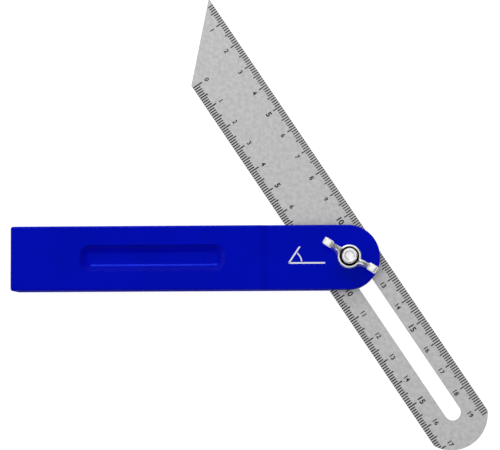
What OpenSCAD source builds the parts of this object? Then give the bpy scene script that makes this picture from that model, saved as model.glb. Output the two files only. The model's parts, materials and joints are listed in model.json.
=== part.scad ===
// Sliding bevel: a slotted steel blade that swings and slides on one pivot bolt,
// held between the two cheeks of a moulded handle and locked by a wing nut.
// The pivot's axis is the Z axis, the handle lies along X with its butt at -X,
// and its flat back is the plane z = 0. All sizes are in millimetres.

/* [Handle] */
// Distance from the butt to the pivot's axis
butt_x = 130.8; // [115:0.2:150]
// Distance from the pivot's axis to the round end of the head
head_x = 12; // [11:0.5:14]
// Width of the handle across its two straight edges
handle_w = 25; // [24:0.2:28]
// Thickness of the grip
grip_t = 17; // [16.5:0.1:18]
// Thickness of the pivot head
head_t = 16; // [15.5:0.1:16.5]
// Distance from the pivot's axis to the head's end of the ramp
ramp_x = 30.2; // [26:0.2:34]
// Length of the ramp between the head and the grip
ramp_l = 5.2; // [2:0.2:8]
// Width of the slot that the blade swings in
blade_gap = 2; // [1.9:0.1:2.4]
// Length of the web that joins the two cheeks at the butt
web_l = 6.8; // [6.4:0.2:10]

/* [Finger groove] */
// Length of the groove at the grip's face
groove_l = 56.4; // [40:0.2:66]
// Width of the groove at the grip's face
groove_w = 10.4; // [10.2:0.2:14]
// Depth of the groove
groove_d = 2.2; // [0.8:0.1:2.4]
// Width of the groove's sloping walls
groove_slope = 4.4; // [1:0.1:4.4]
// Distance from the pivot's axis to the middle of the groove
groove_x = 75.8; // [72:0.1:80]

/* [Blade] */
// Length of the blade from its point to its round end
blade_l = 201; // [195:1:230]
// Width of the blade
blade_w = 24.8; // [24:0.1:27]
// Thickness of the blade
blade_t = 1.2; // [0.8:0.1:1.2]
// Radius of the blade's round end
blade_end_r = 14.1; // [14:0.1:16]
// Width of the blade's slot
slot_w = 6.4; // [6.3:0.1:7]
// Distance from the point of the blade to the slot's near end
slot_start = 104; // [95:1:110]
// Solid metal between the slot and the round end
slot_margin = 11; // [9:0.5:14]
// Offset of the slot from the blade's centre line, towards its long edge
slot_offset = 0.8; // [0:0.1:1]
// How far the blade hangs off the bolt's axis, towards its short edge
blade_play = 0.15; // [0:0.05:0.15]
// Distance from the point of the blade to the pivot's axis, as it is set
blade_set = 115; // [114:1:150]
// Angle of the blade to the handle, as it is set
blade_angle = 56.4; // [30:0.1:120]

/* [Clamp] */
// Diameter of the pivot bolt
bolt_d = 6; // [5:0.1:6]
// Diameter of the bolt's domed head
bolt_head_d = 12.5; // [12:0.1:13]
// Height of the bolt's domed head
bolt_head_h = 3.2; // [2.6:0.1:3.2]
// Height of the bolt's end above the flat back
bolt_top = 28; // [26:0.5:30]
// Diameter of the wing nut's hub
hub_d = 9.2; // [9:0.1:11]
// Height of the wing nut's hub
hub_h = 7; // [6:0.5:8]
// Span of the wing nut over both wings
wing_span = 23.3; // [22:0.1:26]
// Height of the wings' tips over the nut's base
wing_h = 13.4; // [12:0.2:15]
// Angle of the wings to the handle
wing_angle = -30.5; // [-180:0.1:180]
// Outer diameter of the blade washers
washer_d = 16; // [14:0.5:18]
// Thickness of each blade washer
washer_t = 0.3; // [0.2:0.05:0.3]

/* [Hidden] */

$fn = 64;
cut = 0.5;

// Heights of the parting plane and of the blade's slot in the handle
mid_z = 8.5;
gap_low = mid_z - blade_gap / 2;
gap_high = mid_z + blade_gap / 2;
handle_r = handle_w / 2;
butt_r = 0.8;

// Cored pockets on the inner faces of the shells
pocket_l = 13;
pocket_w = 8.6;
rib_t = 2;
pockets_from = -120;
pocket_count = 6;
front_pocket_d = 2.8;
back_pocket_d = 4.8;

// Corners of the finger groove, at the grip's face and at its foot
groove_r = 4;
groove_foot_r = 0.7;

// Screws through the web
screw_x = -butt_x + web_l / 2;
screw_y = 7;
screw_d = 2.5;
screw_head_d = 4.6;
screw_head_h = 1.6;
screw_seat = 2.4;
screw_l = 10.5;

// Clamp parts in the head
neck_w = bolt_d;
neck_h = 2.4;
neck_gap = 0.2;
bolt_seat = 4.4;
bolt_recess_d = 16;
plate_w = 11;
plate_t = 1.2;
seat_d = 9;
seat_t = 1.5;
bore_gap = 0.4;
bolt_chamfer = 0.7;

// Wing nut
nut_bore_d = bolt_d + 0.2;
sink_d = 7.2;
sink_h = 2.6;
fin_t = 1.9;
pad_t = 2.6;
pad_r = 1.95;

// Outline of the handle, seen from the front
module handle_outline() {
    arc_x = head_x - handle_r;
    difference() {
        translate([-butt_x, -handle_r]) square([butt_x + arc_x, handle_w]);
        for (side = [-1, 1]) {
            translate([-butt_x, side * handle_r]) square(2 * butt_r, center = true);
        }
    }
    for (side = [-1, 1]) {
        translate([-butt_x + butt_r, side * (handle_r - butt_r)]) circle(r = butt_r);
    }
    translate([arc_x, 0]) circle(r = handle_r);
}

// Solid with the handle's outline and a given side profile in X and Z
module profiled(points) {
    intersection() {
        linear_extrude(height = grip_t) handle_outline();
        translate([0, handle_w, 0]) rotate([90, 0, 0]) linear_extrude(height = 2 * handle_w) polygon(points);
    }
}

// Two rows of pockets that thin the moulding behind the blade
module pockets(z, depth) {
    for (column = [0 : pocket_count - 1]) {
        for (row = [-1, 1]) {
            x = pockets_from + column * (pocket_l + rib_t);
            y = row * (pocket_w + rib_t) / 2 - pocket_w / 2;
            translate([x, y, z]) cube([pocket_l, pocket_w, depth]);
        }
    }
}

// Finger groove with sloping walls and round corners
module groove() {
    rise = cut / groove_d;
    top_r = groove_r + rise * (groove_r - groove_foot_r);
    translate([-groove_x, 0, grip_t - groove_d]) hull() {
        groove_level(0, -groove_slope, groove_foot_r);
        groove_level(groove_d + cut, rise * groove_slope, top_r);
    }
}

// Thin slice of the groove, grown from its outline at the grip's face
module groove_level(z, grow, corner_r) {
    half_l = groove_l / 2 + grow - corner_r;
    half_w = groove_w / 2 + grow - corner_r;
    for (x = [-half_l, half_l]) {
        for (y = [-half_w, half_w]) {
            translate([x, y, z]) cylinder(h = 0.01, r = corner_r, $fn = 32);
        }
    }
}

// Holes for the two screws, with counterbores in the back
module screw_holes() {
    for (side = [-1, 1]) {
        translate([screw_x, side * screw_y, 0]) {
            translate([0, 0, screw_seat]) cylinder(h = screw_l, d = screw_d);
            translate([0, 0, -cut]) cylinder(h = cut + screw_seat, d = screw_head_d + 0.4);
        }
    }
}

module front_shell() {
    color([0, 0, 0.68]) difference() {
        profiled([
            [-butt_x - 1, mid_z], [-butt_x - 1, grip_t],
            [-ramp_x - ramp_l, grip_t], [-ramp_x, head_t],
            [head_x + 1, head_t], [head_x + 1, gap_high],
            [-butt_x + web_l, gap_high], [-butt_x + web_l, mid_z]
        ]);
        groove();
        pockets(gap_high - cut, front_pocket_d + cut);
        screw_holes();
        translate([0, 0, gap_high - cut]) cylinder(h = grip_t, d = bolt_d + bore_gap);
        translate([0, 0, head_t - seat_t]) cylinder(h = seat_t + cut, d = seat_d);
    }
}

module back_shell() {
    color([0, 0, 0.62]) difference() {
        profiled([
            [-butt_x - 1, 0], [-butt_x - 1, mid_z],
            [-butt_x + web_l, mid_z], [-butt_x + web_l, gap_low],
            [head_x + 1, gap_low], [head_x + 1, 0]
        ]);
        pockets(gap_low - back_pocket_d, back_pocket_d + cut);
        screw_holes();
        translate([0, 0, -cut]) cylinder(h = bolt_seat + cut, d = bolt_recess_d);
        square_block(plate_w, bolt_seat - cut, plate_t + cut);
        square_block(neck_w + neck_gap, bolt_seat, gap_low);
    }
}

// Square block round the pivot's axis, upwards from a given height
module square_block(width, z, height) {
    translate([-width / 2, -width / 2, z]) cube([width, width, height]);
}

// Two pan-head screws, driven from the back
module shell_screws() {
    color([0.75, 0.75, 0.77]) for (side = [-1, 1]) {
        translate([screw_x, side * screw_y, screw_seat]) {
            cylinder(h = screw_l, d = screw_d);
            difference() {
                translate([0, 0, -screw_head_h]) cylinder(h = screw_head_h, d = screw_head_d);
                for (turn = [0, 90]) {
                    rotate(turn) translate([-1.4, -0.3, -screw_head_h - cut]) cube([2.8, 0.6, cut + 0.8]);
                }
            }
        }
    }
}

// Steel disc let into the head, which the wing nut turns on
module nut_seat() {
    color([0.6, 0.6, 0.62]) translate([0, 0, head_t - seat_t]) difference() {
        cylinder(h = seat_t, d = seat_d);
        translate([0, 0, -cut]) cylinder(h = seat_t + 2 * cut, d = bolt_d + bore_gap);
    }
}

// Square steel plate that holds the bolt's square neck
module neck_plate() {
    color([0.6, 0.6, 0.62]) difference() {
        square_block(plate_w, bolt_seat, plate_t);
        square_block(neck_w + neck_gap, bolt_seat - cut, plate_t + 2 * cut);
    }
}

// Outline of the blade along X from its point, with its long edge at +Y
module blade_outline() {
    end_x = blade_l - blade_end_r;
    intersection() {
        polygon([
            [0, blade_w / 2], [blade_w, -blade_w / 2],
            [blade_l, -blade_w / 2], [blade_l, blade_w / 2]
        ]);
        union() {
            translate([0, -blade_w / 2]) square([end_x, blade_w]);
            translate([end_x, 0]) circle(r = blade_end_r, $fn = 96);
        }
    }
}

// Slot for the pivot bolt, with round ends
module blade_slot() {
    slot_r = slot_w / 2;
    from_x = slot_start + slot_r;
    to_x = blade_l - slot_margin - slot_r;
    translate([from_x, slot_offset - slot_r]) square([to_x - from_x, slot_w]);
    for (x = [from_x, to_x]) {
        translate([x, slot_offset]) circle(r = slot_r);
    }
}

module blade() {
    color([0.74, 0.74, 0.74]) translate([0, 0, mid_z - blade_t / 2])
        rotate(-blade_angle) translate([-blade_set, -slot_offset - blade_play, 0])
            linear_extrude(height = blade_t) difference() {
                blade_outline();
                blade_slot();
            }
}

// Thin washer that turns with the blade, upwards from a given height
module blade_washer(z) {
    color([0.8, 0.8, 0.78]) translate([0, 0, z]) difference() {
        cylinder(h = washer_t, d = washer_d);
        translate([0, 0, -cut]) cylinder(h = washer_t + 2 * cut, d = bolt_d + bore_gap);
    }
}

module blade_washer_front() {
    blade_washer(mid_z + blade_t / 2 + side_gap());
}

module blade_washer_back() {
    blade_washer(mid_z - blade_t / 2 - side_gap() - washer_t);
}

// Play on each side of a blade washer
function side_gap() = (blade_gap - blade_t - 2 * washer_t) / 4;

// Carriage bolt with a domed head and a square neck, up from the back
module pivot_bolt() {
    dome_r = (pow(bolt_head_d / 2, 2) + pow(bolt_head_h, 2)) / (2 * bolt_head_h);
    color([0.8, 0.8, 0.82]) {
        intersection() {
            translate([0, 0, bolt_seat - bolt_head_h + dome_r]) sphere(r = dome_r, $fn = 96);
            translate([0, 0, bolt_seat - bolt_head_h]) cylinder(h = bolt_head_h, d = bolt_head_d);
        }
        square_block(neck_w, bolt_seat, neck_h);
        translate([0, 0, bolt_seat]) cylinder(h = bolt_top - bolt_chamfer - bolt_seat, d = bolt_d);
        translate([0, 0, bolt_top - bolt_chamfer])
            cylinder(h = bolt_chamfer, d1 = bolt_d, d2 = bolt_d - 2 * bolt_chamfer);
    }
}

// One wing: an upright fin that rises from the hub to a thick round pad
module wing() {
    pad_x = wing_span / 2 - pad_r;
    pad_z = wing_h - pad_r;
    root_x = hub_d / 2 - 1;
    rotate([90, 0, 0]) {
        translate([0, 0, -fin_t / 2]) linear_extrude(height = fin_t) polygon([
            [root_x, 0.8], [hub_d / 2 + 1.6, 2.6], [pad_x + 0.6 * pad_r, pad_z - 0.7 * pad_r],
            [pad_x, pad_z], [pad_x - 0.65 * pad_r, pad_z + 0.65 * pad_r],
            [hub_d / 2 + 0.6, hub_h + 0.4], [root_x, hub_h - 0.4]
        ]);
        translate([pad_x, pad_z, -pad_t / 2]) cylinder(h = pad_t, r = pad_r);
    }
}

module wing_nut() {
    color([0.86, 0.86, 0.88]) translate([0, 0, head_t]) rotate(wing_angle) difference() {
        union() {
            cylinder(h = hub_h, d = hub_d);
            wing();
            rotate(180) wing();
        }
        translate([0, 0, -cut]) cylinder(h = hub_h + 2 * cut, d = nut_bore_d);
        translate([0, 0, hub_h - sink_h]) cylinder(h = sink_h + cut, d = sink_d);
    }
}

front_shell();
back_shell();
shell_screws();
nut_seat();
neck_plate();
blade();
blade_washer_front();
blade_washer_back();
pivot_bolt();
wing_nut();
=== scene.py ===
"""Looks of the sliding bevel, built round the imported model. Lengths are in metres."""
import json
import math

import bmesh
import bpy
from mathutils import Matrix, Vector
from mathutils.geometry import delaunay_2d_cdt

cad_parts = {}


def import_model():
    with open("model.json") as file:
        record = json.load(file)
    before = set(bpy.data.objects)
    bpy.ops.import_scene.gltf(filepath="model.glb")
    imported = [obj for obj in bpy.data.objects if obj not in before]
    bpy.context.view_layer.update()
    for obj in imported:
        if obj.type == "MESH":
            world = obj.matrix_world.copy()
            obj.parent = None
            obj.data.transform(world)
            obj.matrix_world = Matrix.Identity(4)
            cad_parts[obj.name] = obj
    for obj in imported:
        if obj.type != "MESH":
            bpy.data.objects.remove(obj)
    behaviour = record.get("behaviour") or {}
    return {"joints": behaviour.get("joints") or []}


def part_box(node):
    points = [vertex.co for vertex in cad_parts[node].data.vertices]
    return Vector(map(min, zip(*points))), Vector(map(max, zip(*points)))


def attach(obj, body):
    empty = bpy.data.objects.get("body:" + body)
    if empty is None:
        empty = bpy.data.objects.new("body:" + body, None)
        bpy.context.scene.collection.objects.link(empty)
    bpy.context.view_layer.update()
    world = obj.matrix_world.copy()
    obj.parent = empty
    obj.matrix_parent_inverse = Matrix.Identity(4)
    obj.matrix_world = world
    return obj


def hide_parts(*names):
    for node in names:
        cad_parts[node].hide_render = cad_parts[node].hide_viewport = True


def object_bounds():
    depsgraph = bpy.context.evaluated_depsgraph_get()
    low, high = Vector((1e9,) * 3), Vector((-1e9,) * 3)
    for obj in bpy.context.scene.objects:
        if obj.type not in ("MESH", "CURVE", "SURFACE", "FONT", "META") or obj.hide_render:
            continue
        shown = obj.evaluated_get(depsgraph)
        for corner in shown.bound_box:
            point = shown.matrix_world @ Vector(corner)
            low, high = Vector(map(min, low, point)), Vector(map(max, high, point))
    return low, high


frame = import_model()
cad_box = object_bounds()
scene = bpy.context.scene
MM = 0.001

# Places that come from the frame
front_low, front_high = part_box("front_shell")
back_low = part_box("back_shell")[0]
blade_low, blade_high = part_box("blade")
bolt_low, bolt_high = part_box("pivot_bolt")
nut_low, nut_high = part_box("wing_nut")
seat_low, seat_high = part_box("nut_seat")
plate_low, plate_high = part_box("neck_plate")
screw_low, screw_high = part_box("shell_screws")
BUTT_X = front_low.x
HEAD_X = front_high.x
HALF_W = front_high.y
GRIP_TOP = front_high.z
HEAD_TOP = nut_low.z
PARTING_Z = front_low.z
BLADE_TOP = blade_high.z
BLADE_BOTTOM = blade_low.z
SLIDE_AXIS = next(Vector(j["axis"]) for j in frame["joints"] if j["name"] == "blade_slide")
BLADE_ANGLE = math.atan2(SLIDE_AXIS.y, SLIDE_AXIS.x)

# Handle
GAP = 1.0 * MM            # half of the slot that the blade swings in
WEB_X = BUTT_X + 6.8 * MM
RAMP_FROM = -35.4 * MM
RAMP_TO = -30.2 * MM
EDGE_R = 0.9 * MM
BACK_EDGE_R = 0.6 * MM
LIP = 0.18 * MM
BUTT_R = 1.0 * MM
BORE_R = 3.2 * MM
GROOVE_X = -75.8 * MM
GROOVE_L = 56.4 * MM
GROOVE_W = 10.4 * MM
GROOVE_D = 2.2 * MM
GROOVE_WALL = 4.4 * MM
GROOVE_R = 4.0 * MM
GROOVE_FOOT_R = 0.7 * MM
SCREW_X = (screw_low.x + screw_high.x) / 2
SCREW_Y = 7.0 * MM
SCREW_HOLE_R = 1.3 * MM
SINK_R = 2.5 * MM          # counterbore over a screw's head
SINK_TOP = 2.4 * MM        # height of the counterbore's floor
BOLT_RECESS_R = 8.0 * MM
NECK_HOLE_W = 6.3 * MM
BREAK = 0.1 * MM           # broken edge round a hole
FRONT_POCKET_D = 2.8 * MM
BACK_POCKET_D = 4.8 * MM

# Blade, along its own axis from the point to the round end
BLADE_L = 201.0 * MM
BLADE_W = 24.8 * MM
BLADE_SET = 115.0 * MM
BLADE_END_R = 14.1 * MM
SLOT_R = 3.2 * MM
SLOT_FROM = 107.2 * MM
SLOT_TO = 186.8 * MM
SLOT_OFFSET = 0.8 * MM
BLADE_PLAY = -0.15 * MM    # the slot rests against the bolt's side
PRINT_H = 0.012 * MM       # thickness of printed ink


# ---------------------------------------------------------------- mesh helpers
class Skin:
    """Points and faces of one closed surface, put together from rings."""

    def __init__(self):
        self.points = []
        self.faces = []

    def ring(self, points):
        first = len(self.points)
        self.points.extend(points)
        return list(range(first, len(self.points)))

    def loft(self, low, high):
        count = len(low)
        for i in range(count):
            j = (i + 1) % count
            self.faces.append((low[i], low[j], high[j], high[i]))

    def lofts(self, rings):
        for low, high in zip(rings, rings[1:]):
            self.loft(low, high)

    def fill(self, outer, holes=(), lines=()):
        """Triangles between an outer ring and its holes, which also follow the given lines."""
        used = list(outer)
        for hole in holes:
            used += hole
        edges = []
        start = 0
        for loop in (outer, *holes):
            count = len(loop)
            edges += [(start + i, start + (i + 1) % count) for i in range(count)]
            start += count
        place = {index: i for i, index in enumerate(used)}
        edges += [(place[a], place[b]) for a, b in lines]
        flat = [Vector(self.points[i][:2]) for i in used]
        points, _, faces, origins, _, _ = delaunay_2d_cdt(flat, edges, [], 1, 1e-9)
        names = [used[origin[0]] if origin else None for origin in origins]
        walls = [[self.points[i][:2] for i in hole] for hole in holes]
        rim = [self.points[i][:2] for i in outer]
        for face in faces:
            middle = sum((points[i] for i in face), Vector((0, 0))) / len(face)
            if not inside(middle, rim) or any(inside(middle, wall) for wall in walls):
                continue
            self.faces.append(tuple(names[i] for i in face))

    def piece(self, name, material, body, slot, sharp=30):
        mesh = bpy.data.meshes.new(name)
        mesh.from_pydata([tuple(p) for p in self.points], [], self.faces)
        shape = bmesh.new()
        shape.from_mesh(mesh)
        bmesh.ops.remove_doubles(shape, verts=shape.verts, dist=1e-7)
        bmesh.ops.recalc_face_normals(shape, faces=shape.faces)
        shape.to_mesh(mesh)
        shape.free()
        return finished(name, mesh, material, body, sharp)


def finished(name, mesh, material, body, sharp=30):
    """A shown piece made from a mesh: smooth, with its material, on its body."""
    mesh.shade_smooth()
    mesh.set_sharp_from_angle(angle=math.radians(sharp))
    mesh.materials.clear()
    mesh.materials.append(material)
    piece = bpy.data.objects.new(name, mesh)
    scene.collection.objects.link(piece)
    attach(piece, body)
    return piece


def keep_flat(piece):
    """Lets large flat faces shade flat right up to their rounded edges."""
    weighted = piece.modifiers.new("Weighted normals", "WEIGHTED_NORMAL")
    weighted.keep_sharp = True


def inside(point, ring):
    """Whether a flat point lies inside a ring of flat points."""
    x, y = point
    hit = False
    for (ax, ay), (bx, by) in zip(ring, ring[1:] + ring[:1]):
        if (ay > y) != (by > y) and x < (bx - ax) * (y - ay) / (by - ay) + ax:
            hit = not hit
    return hit


def smooth(t):
    """Smooth step from 0 to 1."""
    t = min(max(t, 0.0), 1.0)
    return t * t * (3 - 2 * t)


def circle(x, y, radius, z, count=64):
    """Ring of a level circle."""
    turns = [2 * math.pi * i / count for i in range(count)]
    return [Vector((x + radius * math.cos(a), y + radius * math.sin(a), z)) for a in turns]


def round_box(x, y, length, width, radius, z, steps=6):
    """Ring of a rectangle with round corners, centred on x and y."""
    points = []
    for corner in range(4):
        sx = (1, -1, -1, 1)[corner]
        sy = (1, 1, -1, -1)[corner]
        cx = x + sx * (length / 2 - radius)
        cy = y + sy * (width / 2 - radius)
        for step in range(steps + 1):
            a = math.pi / 2 * (corner + step / steps)
            points.append(Vector((cx + radius * math.cos(a), cy + radius * math.sin(a), z)))
    return points


def broken_edges(low, high, edge):
    """Inset and height of the rings up a flat part's side, whose two edges are broken."""
    return ((edge, low), (0, low + edge), (0, high - edge), (edge, high))


# ---------------------------------------------------------------- materials
def material(name, color, metallic, roughness, specular=0.5):
    """A plain material, which the functions below then vary."""
    made = bpy.data.materials.new(name)
    made.use_nodes = True
    shader = made.node_tree.nodes["Principled BSDF"]
    shader.inputs["Base Color"].default_value = (*color, 1)
    shader.inputs["Metallic"].default_value = metallic
    shader.inputs["Roughness"].default_value = roughness
    shader.inputs["Specular IOR Level"].default_value = specular
    return made


def node(tree, kind, **values):
    """A new node with the given inputs or settings."""
    made = tree.nodes.new(kind)
    for key, value in values.items():
        if key in made.inputs:
            made.inputs[key].default_value = value
        else:
            setattr(made, key, value)
    return made


def noise(made, scale, detail=3, stretch=(1, 1, 1), turn=0.0):
    """Noise in the piece's own coordinates, stretched along a turned axis."""
    tree = made.node_tree
    place = node(tree, "ShaderNodeTexCoord")
    back = node(tree, "ShaderNodeMapping", Rotation=(0, 0, -turn))
    grow = node(tree, "ShaderNodeMapping", Scale=stretch)
    texture = node(tree, "ShaderNodeTexNoise", Scale=scale, Detail=detail)
    tree.links.new(place.outputs["Object"], back.inputs["Vector"])
    tree.links.new(back.outputs["Vector"], grow.inputs["Vector"])
    tree.links.new(grow.outputs["Vector"], texture.inputs["Vector"])
    return texture.outputs["Fac"]


def blend_colors(made, factor, low, high, from_min=0.35, from_max=0.65):
    """Base colour that varies between two colours."""
    tree = made.node_tree
    ramp = node(tree, "ShaderNodeValToRGB")
    ramp.color_ramp.elements[0].position = from_min
    ramp.color_ramp.elements[0].color = (*low, 1)
    ramp.color_ramp.elements[1].position = from_max
    ramp.color_ramp.elements[1].color = (*high, 1)
    tree.links.new(factor, ramp.inputs["Fac"])
    tree.links.new(ramp.outputs["Color"], tree.nodes["Principled BSDF"].inputs["Base Color"])


def map_range(tree, value, source, target=(0.0, 1.0)):
    """A value moved from one range to another and held inside it."""
    span = node(tree, "ShaderNodeMapRange")
    span.inputs["From Min"].default_value, span.inputs["From Max"].default_value = source
    span.inputs["To Min"].default_value, span.inputs["To Max"].default_value = target
    tree.links.new(value, span.inputs["Value"])
    return span.outputs["Result"]


def vary_roughness(made, factor, low, high):
    """Roughness that varies with a noise, most of which lies between 0.3 and 0.7."""
    tree = made.node_tree
    varied = map_range(tree, factor, (0.3, 0.7), (low, high))
    tree.links.new(varied, tree.nodes["Principled BSDF"].inputs["Roughness"])


def bump(made, factors, distance, strength=1.0):
    """Fine relief from one or two noises, added together."""
    tree = made.node_tree
    height = factors[0]
    if len(factors) > 1:
        total = node(tree, "ShaderNodeMath", operation="ADD")
        tree.links.new(factors[0], total.inputs[0])
        tree.links.new(factors[1], total.inputs[1])
        height = total.outputs["Value"]
    relief = node(tree, "ShaderNodeBump", Strength=strength, Distance=distance)
    tree.links.new(height, relief.inputs["Height"])
    tree.links.new(relief.outputs["Normal"], tree.nodes["Principled BSDF"].inputs["Normal"])


def blue_plastic():
    """Polished faces of the moulding."""
    made = material("blue_plastic", (0.0, 0.0, 0.42), 0.0, 0.21, 0.65)
    tint = made.node_tree.nodes["Principled BSDF"].inputs["Specular Tint"]
    tint.default_value = (0.015, 0.07, 1, 1)
    cloud = noise(made, 60, 4)
    grain = noise(made, 2600, 2)
    blend_colors(made, cloud, (0.0, 0.0, 0.4), (0.0, 0.0, 0.44))
    vary_roughness(made, cloud, 0.19, 0.23)
    bump(made, [grain], 0.004 * MM, 0.5)
    return made


def blue_texture():
    """Side walls of the moulding, with a fine matte texture and painted shade: a darker base colour than
    the faces.
    """
    # Painted shade: the walls' base colour is darker than the faces' 0.42.
    made = material("blue_texture", (0.0, 0.0, 0.3), 0.0, 0.6, 0.1)
    made.node_tree.nodes["Principled BSDF"].inputs["IOR"].default_value = 1.06
    cloud = noise(made, 60, 4)
    grain = noise(made, 1500, 3)
    blend_colors(made, cloud, (0.0, 0.0, 0.27), (0.0, 0.0, 0.31))
    vary_roughness(made, grain, 0.55, 0.7)
    bump(made, [grain], 0.03 * MM, 0.7)
    return made


def satin_steel():
    """The blade: mottled, and faintly brushed along its length."""
    made = material("satin_steel", (0.5, 0.5, 0.5), 1.0, 0.48)
    brushed = noise(made, 220, 5, (1, 14, 1), BLADE_ANGLE)
    mottle = noise(made, 650, 5)
    blend_colors(made, mottle, (0.46, 0.46, 0.46), (0.54, 0.54, 0.535))
    vary_roughness(made, brushed, 0.44, 0.54)
    bump(made, [brushed, mottle], 0.002 * MM, 0.5)
    return made


def radius_mask(made, low, high):
    """0 nearer the pivot's axis than low, 1 farther than high."""
    tree = made.node_tree
    place = node(tree, "ShaderNodeTexCoord")
    flat = node(tree, "ShaderNodeVectorMath", operation="MULTIPLY")
    flat.inputs[1].default_value = (1, 1, 0)
    length = node(tree, "ShaderNodeVectorMath", operation="LENGTH")
    tree.links.new(place.outputs["Object"], flat.inputs[0])
    tree.links.new(flat.outputs["Vector"], length.inputs[0])
    return map_range(tree, length.outputs["Value"], (low, high))


def height_mask(made, low, high):
    """0 below low, 1 above high."""
    tree = made.node_tree
    place = node(tree, "ShaderNodeTexCoord")
    split = node(tree, "ShaderNodeSeparateXYZ")
    tree.links.new(place.outputs["Object"], split.inputs[0])
    return map_range(tree, split.outputs["Z"], (low, high))


def darken(made, mask, dark):
    """Painted shade: base colour that turns to a dark one where the mask is 0.

    The mix node's colours are its inputs 6 and 7 and its output 2."""
    tree = made.node_tree
    color = tree.nodes["Principled BSDF"].inputs["Base Color"]
    mix = node(tree, "ShaderNodeMix", data_type="RGBA")
    mix.inputs[6].default_value = (*dark, 1)
    tree.links.new(color.links[0].from_socket, mix.inputs[7])
    tree.links.new(mask, mix.inputs[0])
    tree.links.new(mix.outputs[2], color)


def bright_zinc():
    """Cast and plated, with painted shade inside the nut's bore, where the base colour turns dark."""
    bore_wall = (3.5 * MM, 3.68 * MM)
    made = material("bright_zinc", (0.82, 0.82, 0.8), 1.0, 0.22)
    lumps = noise(made, 500, 3)
    pits = noise(made, 3000, 2)
    blend_colors(made, lumps, (0.72, 0.72, 0.67), (0.96, 0.96, 0.99))
    vary_roughness(made, pits, 0.26, 0.4)
    bump(made, [lumps, pits], 0.02 * MM, 0.3)
    # Painted shade: the bore's crevice is darkened in the base colour.
    darken(made, radius_mask(made, *bore_wall), (0.16, 0.16, 0.1))
    return made


def plated_bolt():
    """Bright plating of the bolt and the screws."""
    made = material("plated_bolt", (0.78, 0.78, 0.8), 1.0, 0.26)
    fine = noise(made, 1800, 3)
    blend_colors(made, fine, (0.66, 0.64, 0.64), (0.92, 0.91, 0.92))
    vary_roughness(made, fine, 0.2, 0.36)
    bump(made, [fine], 0.01 * MM, 0.5)
    return made


def threaded_zinc():
    """The bolt's plating, with painted shade on the thread: dark low down, fading to the plain plating
    at its end.
    """
    made = plated_bolt()
    made.name = "threaded_zinc"
    dark_below = nut_high.z - 7 * MM
    bright_above = bolt_high.z - 0.6 * MM
    # Painted shade on the thread, which stands in the nut's bore.
    darken(made, height_mask(made, dark_below, bright_above), (0.2, 0.2, 0.15))
    return made


def pressed_steel():
    """Plain steel of the washers, the seat and the neck plate."""
    made = material("pressed_steel", (0.55, 0.55, 0.57), 1.0, 0.38)
    fine = noise(made, 1200, 3)
    blend_colors(made, fine, (0.46, 0.46, 0.48), (0.6, 0.6, 0.61))
    vary_roughness(made, fine, 0.3, 0.46)
    return made


def mark_ink():
    """Dark ink of the scales."""
    made = material("mark_ink", (0.015, 0.015, 0.016), 0.0, 0.6, 0.2)
    worn = noise(made, 900, 3)
    blend_colors(made, worn, (0.01, 0.01, 0.011), (0.025, 0.025, 0.026))
    return made


def white_ink():
    """White ink of the angle sign."""
    made = material("white_ink", (0.85, 0.87, 0.9), 0.0, 0.45, 0.3)
    worn = noise(made, 900, 3)
    blend_colors(made, worn, (0.75, 0.77, 0.82), (0.9, 0.91, 0.93))
    return made


BLUE = blue_plastic()
BLUE_SHADED_WALL = blue_texture()
STEEL = satin_steel()
ZINC = bright_zinc()
BOLT = plated_bolt()
THREAD = threaded_zinc()
PLATE = pressed_steel()
INK = mark_ink()
WHITE = white_ink()


# ---------------------------------------------------------------- handle shells
WEB_STEP = 0.02 * MM       # the web's end wall, drawn almost upright
RAMP_STEPS = 8
ARC_STEPS = 48
CORNER_STEPS = 4
EDGE_STEPS = 6


def stations():
    """Places along the handle's straight edges, from the butt to the head."""
    places = [BUTT_X + BUTT_R, WEB_X, WEB_X + WEB_STEP]
    places += [x * MM for x in range(-120, -37, 5)]
    places += [RAMP_FROM + (RAMP_TO - RAMP_FROM) * i / RAMP_STEPS for i in range(-1, RAMP_STEPS + 2)]
    places += [x * MM for x in range(-25, 0, 5)]
    return places


STATIONS = stations()


def handle_ring(inset, height):
    """The handle's outline, moved in by an inset, at the height that a function of x gives."""
    half = HALF_W - inset
    corner = max(BUTT_R - inset, 0.02 * MM)
    arc_x = HEAD_X - HALF_W
    flat = [(x, -half) for x in STATIONS]
    for step in range(ARC_STEPS + 1):
        a = math.pi * (step / ARC_STEPS - 0.5)
        flat.append((arc_x + half * math.cos(a), half * math.sin(a)))
    flat += [(x, half) for x in reversed(STATIONS)]
    for side in (1, -1):
        for step in range(CORNER_STEPS + 1):
            part = step / CORNER_STEPS if side > 0 else 1 - step / CORNER_STEPS
            a = math.pi / 2 + part * math.pi / 2
            x = BUTT_X + inset + corner + corner * math.cos(a)
            y = side * (half - corner + corner * math.sin(a))
            if part > 0:
                flat.append((x, y))
    return [Vector((x, y, height(x))) for x, y in flat]


def cross_lines(ring, wanted):
    """Lines across the handle that join a ring's two edges at the wanted stations."""
    count = len(STATIONS)
    far = count + ARC_STEPS + 1
    return [(ring[i], ring[far + count - 1 - i]) for i in range(count) if wanted(STATIONS[i])]


def grip_height(x):
    """Height of the handle's top: the grip, the ramp and the thinner head."""
    return GRIP_TOP - (GRIP_TOP - HEAD_TOP) * smooth((x - RAMP_FROM) / (RAMP_TO - RAMP_FROM))


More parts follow.
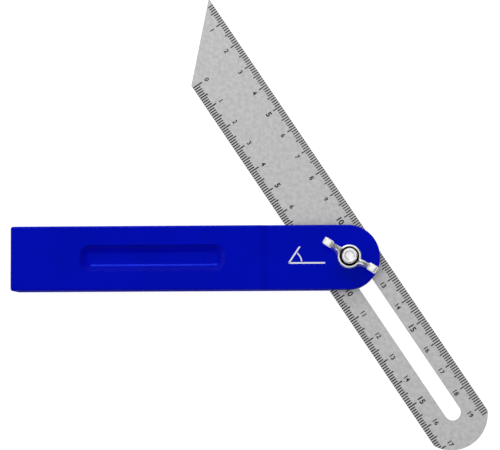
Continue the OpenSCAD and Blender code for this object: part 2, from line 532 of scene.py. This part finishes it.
def groove_rings(skin):
    """Rings down the groove's hollow wall, from its rounded lip to its foot."""
    steps = 24
    crowding = 1.6  # more than 1 sets the rings closer together near the lip
    lip = 0.08      # share of the wall's width that the rounded lip takes
    rings = []
    for step in range(steps + 1):
        t = (step / steps) ** crowding
        length = GROOVE_L - 2 * t * GROOVE_WALL
        width = GROOVE_W - 2 * t * GROOVE_WALL
        radius = GROOVE_R + t * (GROOVE_FOOT_R - GROOVE_R)
        z = GRIP_TOP - GROOVE_D * (1 - (1 - t) ** 2) * smooth(t / lip)
        rings.append(skin.ring(round_box(GROOVE_X, 0, length, width, radius, z, 10)))
    return rings


def pockets(skin, face_z, floor_z):
    """Cored pockets on a shell's inner face, a little narrower at the foot. Returns their rims."""
    first_x, pitch, row_y = -113.5 * MM, 15.0 * MM, 5.3 * MM
    length, width, corner = 13.0 * MM, 8.6 * MM, 0.8 * MM
    draft = 0.2 * MM
    rims = []
    for column in range(6):
        for row in (-1, 1):
            x = first_x + pitch * column
            y = row * row_y
            rim = skin.ring(round_box(x, y, length, width, corner, face_z, 3))
            foot = round_box(x, y, length - draft, width - draft, corner - draft / 2, floor_z, 3)
            foot = skin.ring(foot)
            skin.loft(rim, foot)
            skin.fill(foot)
            rims.append(rim)
    return rims


def shell_sides(skin, outer, inner, way, edge_r):
    """The rounded outer edge and the side wall. Returns the rims of the outer and inner faces."""
    rings = []
    for step in range(EDGE_STEPS + 1):
        a = math.pi / 2 * step / EDGE_STEPS
        drop = edge_r * (1 - math.cos(a))
        inset = edge_r * (1 - math.sin(a))
        rings.append(skin.ring(handle_ring(inset, lambda x: outer(x) - way * drop)))
    rings.append(skin.ring(handle_ring(0, lambda x: inner(x) + way * LIP)))
    rings.append(skin.ring(handle_ring(LIP, inner)))
    skin.lofts(rings)
    return rings[0], rings[-1]


def textured_walls(shell):
    """Gives a shell's upright outer walls the matte texture and its painted shade."""
    shell.data.materials.append(BLUE_SHADED_WALL)
    for face in shell.data.polygons:
        x, y = face.center[:2]
        outside = abs(y) > HALF_W - EDGE_R or x < BUTT_X + EDGE_R or x > HEAD_X - HALF_W
        if outside and abs(face.normal.z) < 0.5 and x * x + y * y > (HALF_W - EDGE_R) ** 2:
            face.material_index = 1


def web_step(x):
    """Whether a station is one of the two at the web's end wall."""
    slack = 0.001 * MM
    return WEB_X - slack <= x <= WEB_X + WEB_STEP + slack


def inner_height(way):
    """Function of x for a shell's inner face: the parting plane at the web, and the gap beyond it."""
    def height(x):
        return PARTING_Z if x < WEB_X + WEB_STEP / 2 else PARTING_Z + way * GAP

    return height


def front_shell():
    """The half with the finger groove, the ramp and the seat under the nut."""
    skin = Skin()
    face, floor = shell_sides(skin, grip_height, inner_height(1), 1, EDGE_R)
    groove = groove_rings(skin)
    skin.lofts(groove)
    skin.fill(groove[-1])
    gap_z = PARTING_Z + GAP
    seat_r = seat_high.x + 0.05 * MM
    sizes = ((seat_r + BREAK, HEAD_TOP), (seat_r, HEAD_TOP - BREAK), (seat_r, seat_low.z))
    sizes += ((BORE_R, seat_low.z), (BORE_R, gap_z))
    seat = [skin.ring(circle(0, 0, r, z)) for r, z in sizes]
    skin.lofts(seat)
    ramp = cross_lines(face, lambda x: RAMP_FROM - 1 * MM < x < RAMP_TO + 1 * MM)
    skin.fill(face, [groove[0], seat[0]], ramp)
    holes = [seat[-1]] + pockets(skin, gap_z, gap_z + FRONT_POCKET_D)
    for side in (-1, 1):
        levels = (PARTING_Z, screw_high.z + 0.4 * MM)
        rim, foot = (skin.ring(circle(SCREW_X, side * SCREW_Y, SCREW_HOLE_R, z, 24)) for z in levels)
        skin.loft(rim, foot)
        skin.fill(foot)
        holes.append(rim)
    skin.fill(floor, holes, cross_lines(floor, web_step))
    shell = skin.piece("front_shell_skin", BLUE, "handle", "handle")
    textured_walls(shell)
    keep_flat(shell)
    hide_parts("front_shell")


def square_well(skin, width, levels):
    """Rings of a square hole with slightly round corners, one at each height."""
    return [skin.ring(round_box(0, 0, width, width, 0.3 * MM, z, 3)) for z in levels]


def back_shell():
    """The flat half, with the bolt's recess and the holes for the two screws."""
    skin = Skin()
    face, floor = shell_sides(skin, lambda x: back_low.z, inner_height(-1), -1, BACK_EDGE_R)
    gap_z = PARTING_Z - GAP
    chamfer = 0.4 * MM
    sizes = ((BOLT_RECESS_R + chamfer, back_low.z), (BOLT_RECESS_R, back_low.z + chamfer))
    sizes += ((BOLT_RECESS_R, plate_low.z),)
    recess = [skin.ring(circle(0, 0, r, z)) for r, z in sizes]
    skin.lofts(recess)
    pocket = square_well(skin, plate_high.x - plate_low.x + 0.1 * MM, (plate_low.z, plate_high.z))
    skin.fill(recess[-1], [pocket[0]])
    skin.lofts(pocket)
    neck = square_well(skin, NECK_HOLE_W, (plate_high.z, gap_z))
    skin.fill(pocket[-1], [neck[0]])
    skin.lofts(neck)
    outer_holes = [recess[0]]
    inner_holes = [neck[-1]] + pockets(skin, gap_z, gap_z - BACK_POCKET_D)
    for side in (-1, 1):
        sizes = ((SINK_R + BREAK, back_low.z), (SINK_R, back_low.z + BREAK), (SINK_R, SINK_TOP))
        sizes += ((SCREW_HOLE_R, SINK_TOP), (SCREW_HOLE_R, PARTING_Z))
        sink = [skin.ring(circle(SCREW_X, side * SCREW_Y, r, z, 24)) for r, z in sizes]
        skin.lofts(sink)
        outer_holes.append(sink[0])
        inner_holes.append(sink[-1])
    skin.fill(face, outer_holes)
    skin.fill(floor, inner_holes, cross_lines(floor, web_step))
    shell = skin.piece("back_shell_skin", BLUE, "handle", "handle")
    textured_walls(shell)
    keep_flat(shell)
    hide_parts("back_shell")


front_shell()
back_shell()


# ---------------------------------------------------------------- blade
def on_blade(along, across, z):
    """A point of the blade's own frame, put where the blade is set."""
    point = Vector((along - BLADE_SET, across - SLOT_OFFSET + BLADE_PLAY, 0))
    point.rotate(Matrix.Rotation(BLADE_ANGLE, 3, "Z"))
    return Vector((point.x, point.y, z))


def blade_ring(inset, z):
    """The blade's outline, moved in by an inset."""
    half = BLADE_W / 2 - inset
    end_r = BLADE_END_R - inset
    end_x = BLADE_L - BLADE_END_R
    slant = inset * math.sqrt(2)
    sweep = math.asin(half / end_r)
    flat = [(BLADE_W / 2 + half + slant, -half)]
    steps = 40
    for step in range(steps + 1):
        a = -sweep + 2 * sweep * step / steps
        flat.append((end_x + end_r * math.cos(a), end_r * math.sin(a)))
    flat.append((BLADE_W / 2 - half + slant, half))
    return [on_blade(x, y, z) for x, y in flat]


def slot_ring(grow, z):
    """The slot's outline, made wider by grow."""
    radius = SLOT_R + grow
    steps = 24
    flat = []
    for x, turn in ((SLOT_TO, -0.5), (SLOT_FROM, 0.5)):
        for step in range(steps + 1):
            a = math.pi * (turn + step / steps)
            flat.append((x + radius * math.cos(a), SLOT_OFFSET + radius * math.sin(a)))
    return [on_blade(x, y, z) for x, y in flat]


def blade():
    """The flat blade with its 45 degree point, round end and slot."""
    skin = Skin()
    levels = broken_edges(BLADE_BOTTOM, BLADE_TOP, 0.12 * MM)
    outline = [skin.ring(blade_ring(inset, z)) for inset, z in levels]
    slot = [skin.ring(slot_ring(inset, z)) for inset, z in levels]
    skin.lofts(outline)
    skin.lofts(slot)
    skin.fill(outline[0], [slot[0]])
    skin.fill(outline[-1], [slot[-1]])
    piece = skin.piece("blade_plate", STEEL, "blade", "blade")
    keep_flat(piece)
    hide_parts("blade")


def tick(skin, x, outer, inner, width):
    """One thin bar of the scale, from the blade's edge inwards."""
    corners = ((-1, outer), (1, outer), (1, inner), (-1, inner))
    rings = []
    for z in (BLADE_TOP, BLADE_TOP + PRINT_H):
        rings.append(skin.ring([on_blade(x + dx * width / 2, y, z) for dx, y in corners]))
    skin.faces += [tuple(ring) for ring in rings]
    skin.loft(*rings)


def print_drift(x):
    """How far the printed scales have strayed across the blade, since they lie a little askew."""
    slope, true_at = -0.0035, 100 * MM
    return slope * (x - true_at)


def tick_length(count):
    """Longest at each 10 mm, longer at each 5 mm."""
    if count % 10 == 0:
        return 4.0 * MM
    if count % 5 == 0:
        return 3.3 * MM
    return 2.55 * MM


def scale_ticks(side, zero, first, last, width):
    """Ticks of one scale, 1 mm apart. They stop short of the blade's round end."""
    skin = Skin()
    half = BLADE_W / 2
    end_x = BLADE_L - BLADE_END_R
    for count in range(first, last + 1):
        x = zero + count * MM
        edge = half - 0.02 * MM
        if x > end_x:
            edge = min(edge, math.sqrt(BLADE_END_R ** 2 - (x - end_x) ** 2) - 0.15 * MM)
        inner = half - tick_length(count) + side * print_drift(x)
        tick(skin, x, side * edge, side * inner, width)
    skin.piece("scale_ticks_left" if side < 0 else "scale_ticks_right", INK, "blade", "blade")


def figure(text, size, bold):
    """Flat mesh of a number, centred on the origin."""
    curve = bpy.data.curves.new("figure", "FONT")
    curve.body = text
    curve.size = size
    curve.align_x = "CENTER"
    curve.align_y = "CENTER"
    curve.extrude = PRINT_H / 2
    curve.offset = bold
    curve.resolution_u = 3
    holder = bpy.data.objects.new("figure", curve)
    scene.collection.objects.link(holder)
    graph = bpy.context.evaluated_depsgraph_get()
    mesh = bpy.data.meshes.new_from_object(holder.evaluated_get(graph))
    bpy.data.objects.remove(holder)
    low = min(v.co.y for v in mesh.vertices)
    high = max(v.co.y for v in mesh.vertices)
    mesh.transform(Matrix.Translation((0, -(low + high) / 2, 0)))
    return mesh


def scale_figures(side, zero, first, last):
    """Centimetre figures of one scale, in one piece. Every fifth is larger and bolder."""
    from_edge = 6.1 * MM
    past_tick = 0.15 * MM
    shape = bmesh.new()
    for count in range(first, last + 1):
        large = count % 5 == 0 and count > 0
        size, bold = (3.1 * MM, 0.1 * MM) if large else (2.5 * MM, 0.07 * MM)
        mesh = figure(str(count), size, bold)
        x = zero + 10 * count * MM + past_tick
        y = side * (BLADE_W / 2 - from_edge) + print_drift(x)
        place = on_blade(x, y, BLADE_TOP + PRINT_H / 2)
        mesh.transform(Matrix.Translation(place) @ Matrix.Rotation(BLADE_ANGLE, 4, "Z"))
        shape.from_mesh(mesh)
        bpy.data.meshes.remove(mesh)
    name = "scale_figures_left" if side < 0 else "scale_figures_right"
    mesh = bpy.data.meshes.new(name)
    shape.to_mesh(mesh)
    shape.free()
    finished(name, mesh, INK, "blade")


RIGHT_ZERO = 1.0 * MM
LEFT_ZERO = 26.0 * MM

blade()
scale_ticks(1, RIGHT_ZERO, 2, 193, 0.44 * MM)
scale_ticks(-1, LEFT_ZERO, 0, 170, 0.5 * MM)
scale_figures(1, RIGHT_ZERO, 1, 19)
scale_figures(-1, LEFT_ZERO, 0, 17)


# ---------------------------------------------------------------- bolt
PITCH = 1.0 * MM
BOLT_R = 2.88 * MM
THREAD_D = 0.5 * MM
THREAD_Z = PARTING_Z + GAP + 2 * MM
BOLT_SEAT_Z = plate_low.z
BOLT_SIDES = 72


def thread_depth(z, angle):
    """How far the thread's flank lies inside the bolt's outer surface."""
    t = (z / PITCH - angle / (2 * math.pi)) % 1.0
    flank = 2 * abs(t - 0.5)
    crest, slope = 0.08, 0.8
    return THREAD_D * min(max((flank - crest) / slope, 0.0), 1.0)


def square_ring(half, z, count):
    """Ring of a rounded square with evenly turned points. A higher power gives sharper corners."""
    power = 14
    points = []
    for i in range(count):
        a = 2 * math.pi * i / count
        c, s = math.cos(a), math.sin(a)
        radius = half / (abs(c) ** power + abs(s) ** power) ** (1 / power)
        points.append(Vector((radius * c, radius * s, z)))
    return points


def bolt_head():
    """Rings over the domed head, from its middle to its flat inner side."""
    dome_r = bolt_high.x
    dome_h = BOLT_SEAT_Z - bolt_low.z
    ball_r = (dome_r ** 2 + dome_h ** 2) / (2 * dome_h)
    steps = 12
    rings = []
    for step in range(1, steps + 1):
        radius = dome_r * step / steps
        z = bolt_low.z + ball_r - math.sqrt(ball_r ** 2 - radius ** 2)
        rings.append(circle(0, 0, radius, min(z, BOLT_SEAT_Z - 0.15 * MM), BOLT_SIDES))
    rings.append(circle(0, 0, dome_r - 0.05 * MM, BOLT_SEAT_Z, BOLT_SIDES))
    return rings


def bolt_neck():
    """Rings of the square neck and the plain waist above it."""
    half = BOLT_R - 0.02 * MM
    neck_h = 2.2 * MM
    waist_r = 2.7 * MM
    rings = [square_ring(half, z, BOLT_SIDES) for z in (BOLT_SEAT_Z, BOLT_SEAT_Z + neck_h)]
    rings += [circle(0, 0, waist_r, z, BOLT_SIDES) for z in (BOLT_SEAT_Z + neck_h + 0.3 * MM, THREAD_Z)]
    return rings


def bolt_thread():
    """Rings up the helical thread to its chamfered end, which has a shallow dimple."""
    chamfer = 0.45 * MM
    rings = []
    z = THREAD_Z + 0.3 * MM
    while z < bolt_high.z - 0.02 * MM:
        limit = BOLT_R - max(z - (bolt_high.z - chamfer), 0)
        ring = []
        for i in range(BOLT_SIDES):
            a = 2 * math.pi * i / BOLT_SIDES
            radius = min(BOLT_R - thread_depth(z, a), limit)
            ring.append(Vector((radius * math.cos(a), radius * math.sin(a), z)))
        rings.append(ring)
        z += PITCH / 14
    rings.append(circle(0, 0, BOLT_R - chamfer, bolt_high.z, BOLT_SIDES))
    dimple = ((2.1, 0.0), (1.95, 0.03), (1.7, 0.16), (1.3, 0.27), (0.7, 0.33), (0.25, 0.35))
    for radius, drop in dimple:
        rings.append(circle(0, 0, radius * MM, bolt_high.z - drop * MM, BOLT_SIDES))
    return rings


def bolt():
    """The whole bolt in one piece, with its thread in the material that has painted shade."""
    skin = Skin()
    rings = [skin.ring(points) for points in bolt_head() + bolt_neck() + bolt_thread()]
    skin.lofts(rings)
    skin.fill(rings[0])
    skin.fill(rings[-1])
    piece = skin.piece("pivot_bolt_threaded", THREAD, "bolt", "bolt", 40)
    piece.data.materials.append(BOLT)
    for face in piece.data.polygons:
        if face.center.z < THREAD_Z:
            face.material_index = 1
    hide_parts("pivot_bolt")


bolt()


# ---------------------------------------------------------------- wing nut
WING_ANGLE = -30.5


def nut_hub(skin):
    """The hub: slightly tapered, with a deep counterbore over its thread."""
    # Radius and height in millimetres, up the outside and then down the inside
    profile = [(3.5, 0.0), (4.5, 0.0), (4.62, 0.2), (4.45, 6.5), (4.36, 6.86), (4.12, 7.0)]
    profile += [(3.8, 7.0), (3.6, 6.86), (3.55, 6.5), (3.5, 3.4), (3.12, 3.1), (3.12, 0.4)]
    rings = [skin.ring(circle(0, 0, radius * MM, nut_low.z + up * MM, 96)) for radius, up in profile]
    skin.lofts(rings + rings[:1])


def squared(angle, power):
    """Cosine and sine of an angle, pushed outwards so that a round section turns squarer."""
    c, s = math.cos(angle), math.sin(angle)
    return math.copysign(abs(c) ** power, c), math.copysign(abs(s) ** power, s)


def wing_axes(turn):
    """Directions out along a wing and across it."""
    return Vector((math.cos(turn), math.sin(turn), 0)), Vector((-math.sin(turn), math.cos(turn), 0))


def wing_section(turn, low, high, thick):
    """Ring of a rounded section between two points of a wing, each (out, across, up)."""
    out, side = wing_axes(turn)
    up = Vector((0, 0, 1))
    a = out * low[0] + side * low[1] + up * low[2]
    b = out * high[0] + side * high[1] + up * high[2]
    count = 28
    points = []
    for i in range(count):
        c, s = squared(2 * math.pi * i / count, 0.6)
        points.append(((a + b) / 2 + (b - a) / 2 * c + side * thick / 2 * s) * MM + up * nut_low.z)
    return points


def nut_wing(skin, turn, bow, root):
    """One wing: a fin that rises from the hub, leans to one side and ends in a thick pad.

    bow is 1 or -1 for the side it leans to, and root is its thickness at the hub in millimetres."""
    # (out, across, up) of the low and the high side, and the thickness, in millimetres
    sections = [
        ((3.95, -0.3, 0.5), (3.75, 0.2, 7.2), root),
        ((4.6, -0.4, 0.9), (4.4, 0.3, 7.5), 0.85 * root),
        ((5.4, -0.3, 1.9), (5.1, 0.5, 7.8), 2.2),
        ((6.5, -0.2, 3.8), (6.0, 0.6, 8.4), 2.0),
        ((7.6, 0.0, 6.2), (6.9, 0.5, 9.9), 1.9),
        ((8.6, 0.1, 8.4), (7.6, 0.35, 11.4), 2.0),
    ]
    rings = []
    for low, high, thick in sections:
        low = (low[0], bow * low[1], low[2])
        high = (high[0], bow * high[1], high[2])
        rings.append(skin.ring(wing_section(turn, low, high, thick)))
    skin.lofts(rings)
    for ring in (rings[0], rings[-1]):
        skin.faces.append(tuple(ring))
    nut_pad(skin, turn, bow)


def nut_pad(skin, turn, bow):
    """The thick rounded pad at the end of a wing, turned a little from the wing's own line."""
    out, side = wing_axes(turn)
    distance, height = 9.65 + 0.13 * bow, 11.4
    middle = (out * distance + side * bow * 0.2) * MM + Vector((0, 0, nut_low.z + height * MM))
    out, side = wing_axes(turn - math.radians(2))
    half_l, half_h = 2.12, 2.0
    count = 48
    # Place across the pad, and how far the section there is drawn in, in millimetres
    sections = ((-1.45, 0.7), (-1.4, 0.4), (-1.15, 0.08), (1.15, 0.08), (1.4, 0.4), (1.45, 0.7))
    rings = []
    for across, drawn_in in sections:
        ring = []
        for i in range(count):
            c, s = squared(2 * math.pi * i / count, 0.7)
            reach = out * c * (half_l - drawn_in) + Vector((0, 0, 1)) * s * (half_h - drawn_in)
            ring.append(middle + side * across * MM + reach * MM)
        rings.append(skin.ring(ring))
    skin.lofts(rings)
    for ring in (rings[0], rings[-1]):
        skin.faces.append(tuple(ring))


def wing_nut():
    """Hub and wings, grown into one smooth casting. The second wing is a little thicker at its root."""
    skin = Skin()
    turn = math.radians(WING_ANGLE)
    nut_hub(skin)
    nut_wing(skin, turn, 1, 2.9)
    nut_wing(skin, turn + math.pi, -1, 3.6)
    piece = skin.piece("wing_nut_cast", ZINC, "nut", "wing_nut", 60)
    remesh = piece.modifiers.new("Remesh", "REMESH")
    remesh.mode = "VOXEL"
    remesh.voxel_size = 0.12 * MM
    remesh.use_smooth_shade = True
    soften = piece.modifiers.new("Soften", "SMOOTH")
    soften.factor = 0.5
    soften.iterations = 3
    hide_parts("wing_nut")


wing_nut()


# ---------------------------------------------------------------- small steel parts
def close_plate(skin, outer, inner):
    """The walls and faces of a plate with a hole, from its rings."""
    skin.lofts(outer)
    skin.lofts(inner)
    skin.loft(outer[0], inner[0])
    skin.loft(outer[-1], inner[-1])


def disc(name, radius, hole, low, high, body, slot, cad):
    """Flat ring with slightly broken edges."""
    skin = Skin()
    levels = broken_edges(low, high, min(0.08 * MM, (high - low) / 4))
    outer = [skin.ring(circle(0, 0, radius - inset, z)) for inset, z in levels]
    inner = [skin.ring(circle(0, 0, hole + inset, z)) for inset, z in levels]
    close_plate(skin, outer, inner)
    piece = skin.piece(name, PLATE, body, slot)
    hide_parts(cad)


for side in ("front", "back"):
    low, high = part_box("blade_washer_" + side)
    disc("washer_" + side, high.x, BORE_R, low.z, high.z, "swivel", "washers", "blade_washer_" + side)
disc("seat_ring", seat_high.x, BORE_R, seat_low.z, seat_high.z, "handle", "inserts", "nut_seat")


def neck_plate():
    """Square plate with a square hole, which keeps the bolt from turning."""
    skin = Skin()
    width = plate_high.x - plate_low.x
    hole = 6.2 * MM
    levels = broken_edges(plate_low.z, plate_high.z, 0.1 * MM)
    outer = [skin.ring(round_box(0, 0, width - 2 * i, width - 2 * i, 0.4 * MM, z, 3)) for i, z in levels]
    inner = [skin.ring(round_box(0, 0, hole + 2 * i, hole + 2 * i, 0.2 * MM, z, 3)) for i, z in levels]
    close_plate(skin, outer, inner)
    piece = skin.piece("neck_plate_pressed", PLATE, "handle", "inserts")
    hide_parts("neck_plate")


neck_plate()


def shell_screws():
    """Two pan-head screws with a cross recess."""
    skin = Skin()
    low = screw_low.z
    seat = low + 1.6 * MM
    recess_d = 0.9 * MM
    # Radius and height of the head's dome, its flat inner side, the shank and the tip
    sizes = [(1.7 * MM, low), (2.05 * MM, low + 0.15 * MM), (2.3 * MM, low + 0.6 * MM), (2.3 * MM, seat)]
    sizes += [(1.2 * MM, seat), (1.2 * MM, screw_high.z - 1.0 * MM), (0.5 * MM, screw_high.z)]
    for side in (-1, 1):
        x, y = SCREW_X, side * SCREW_Y
        rings = [skin.ring(circle(x, y, radius, z, 48)) for radius, z in sizes]
        skin.lofts(rings)
        skin.fill(rings[-1])
        rim, foot = (skin.ring(cross_ring(x, y, z)) for z in (low, low + recess_d))
        skin.fill(rings[0], [rim])
        skin.loft(rim, foot)
        skin.fill(foot)
    piece = skin.piece("shell_screws_pan", BOLT, "handle", "screws")
    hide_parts("shell_screws")


def cross_ring(x, y, z):
    """Ring of a screw's cross recess."""
    arm, half = 1.15 * MM, 0.3 * MM
    corners = []
    for turn in range(4):
        c, s = math.cos(turn * math.pi / 2), math.sin(turn * math.pi / 2)
        for px, py in ((half, half), (half, arm), (-half, arm)):
            corners.append(Vector((x + px * c - py * s, y + px * s + py * c, z)))
    return corners


shell_screws()


# ---------------------------------------------------------------- printed mark
def print_slab(skin, flat):
    """A thin slab of ink on the head, with the given flat outline."""
    levels = (HEAD_TOP, HEAD_TOP + PRINT_H)
    rings = [skin.ring([Vector((p.x, p.y, z)) for p in flat]) for z in levels]
    skin.loft(*rings)
    for ring in rings:
        skin.fill(ring)


def angle_mark():
    """A plain angle sign in white ink: two lines and an arc."""
    skin = Skin()
    line = 0.6 * MM
    lean = math.radians(56)
    corner = Vector((-23.2 * MM, -2.2 * MM, 0))
    for angle, length in ((0, 14 * MM), (lean, 7.6 * MM)):
        end = corner + Vector((math.cos(angle), math.sin(angle), 0)) * length
        across = Vector((-math.sin(angle), math.cos(angle), 0)) * line / 2
        print_slab(skin, [corner - across, end - across, end + across, corner + across])
    steps = 16
    radius = 5.0 * MM
    clear = math.radians(7)
    inner, outer = [], []
    for i in range(steps + 1):
        a = clear + (lean - 2 * clear) * i / steps
        way = Vector((math.cos(a), math.sin(a), 0))
        inner.append(corner + way * (radius - line * 0.4))
        outer.append(corner + way * (radius + line * 0.4))
    print_slab(skin, inner + outer[::-1])
    skin.piece("angle_mark", WHITE, "handle", "handle")


angle_mark()


# ---------------------------------------------------------------- floor, light and camera
def floor():
    """A pale table that glows a little, so that the tool hardly throws a shadow."""
    mesh = bpy.data.meshes.new("floor")
    size = 3.0
    z = cad_box[0].z - 0.05 * MM
    corners = [(-size, -size, z), (size, -size, z), (size, size, z), (-size, size, z)]
    mesh.from_pydata(corners, [], [(0, 1, 2, 3)])
    ground = bpy.data.objects.new("floor", mesh)
    paper = material("light_table", (0.3, 0.3, 0.3), 0.0, 0.9, 0.0)
    shader = paper.node_tree.nodes["Principled BSDF"]
    shader.inputs["Emission Color"].default_value = (1, 1, 1, 1)
    shader.inputs["Emission Strength"].default_value = 0.89
    mesh.materials.append(paper)
    scene.collection.objects.link(ground)


def lamp(name, azimuth, elevation, distance, width, height, power):
    """A soft box that points at the tool. Azimuth runs anticlockwise from +X, in degrees."""
    target = Vector((-0.04, 0, 0))
    turn, lift = math.radians(azimuth), math.radians(elevation)
    way = Vector((math.cos(turn) * math.cos(lift), math.sin(turn) * math.cos(lift), math.sin(lift)))
    light = bpy.data.lights.new(name, "AREA")
    light.shape = "RECTANGLE"
    light.size = width
    light.size_y = height
    light.energy = power
    holder = bpy.data.objects.new(name, light)
    holder.location = target + way * distance
    holder.rotation_mode = "QUATERNION"
    holder.rotation_quaternion = (-way).to_track_quat("-Z", "Y")
    holder.visible_camera = False
    scene.collection.objects.link(holder)


def world(low, high):
    """A room that is brighter on the key light's side than on the other."""
    made = bpy.data.worlds.new("studio")
    made.use_nodes = True
    tree = made.node_tree
    place = node(tree, "ShaderNodeTexCoord")
    side = node(tree, "ShaderNodeVectorMath", operation="DOT_PRODUCT")
    side.inputs[1].default_value = (-0.6, 0.8, 0)
    reach = 0.6
    tree.links.new(place.outputs["Generated"], side.inputs[0])
    strength = map_range(tree, side.outputs["Value"], (-reach, reach), (low, high))
    tree.nodes["Background"].inputs["Color"].default_value = (1, 1, 1, 1)
    tree.links.new(strength, tree.nodes["Background"].inputs["Strength"])
    scene.world = made


def camera():
    """A long lens nearly straight above the tool."""
    place = Vector((-14.4, -36.1, 785.7)) * MM
    target = Vector((-38.3, 13.0, 9.0)) * MM
    roll = math.radians(-0.256)
    back = (place - target).normalized()
    right = Vector((0, 1, 0)).cross(back).normalized()
    up = back.cross(right)
    turn = Matrix((right, up, back)).transposed().to_4x4()
    data = bpy.data.cameras.new("camera")
    data.lens = 144
    data.sensor_width = 36
    data.clip_start = 0.01
    data.clip_end = 20
    holder = bpy.data.objects.new("camera", data)
    holder.matrix_world = Matrix.Translation(place) @ turn @ Matrix.Rotation(roll, 4, "Z")
    scene.collection.objects.link(holder)
    scene.camera = holder


floor()
world(0.32, 0.7)
lamp("ceiling", -45, 85, 1.6, 1.7, 1.7, 6)
lamp("key", 110, 43, 1.3, 0.6, 0.2, 4.4)
camera()
scene.view_settings.view_transform = "Standard"
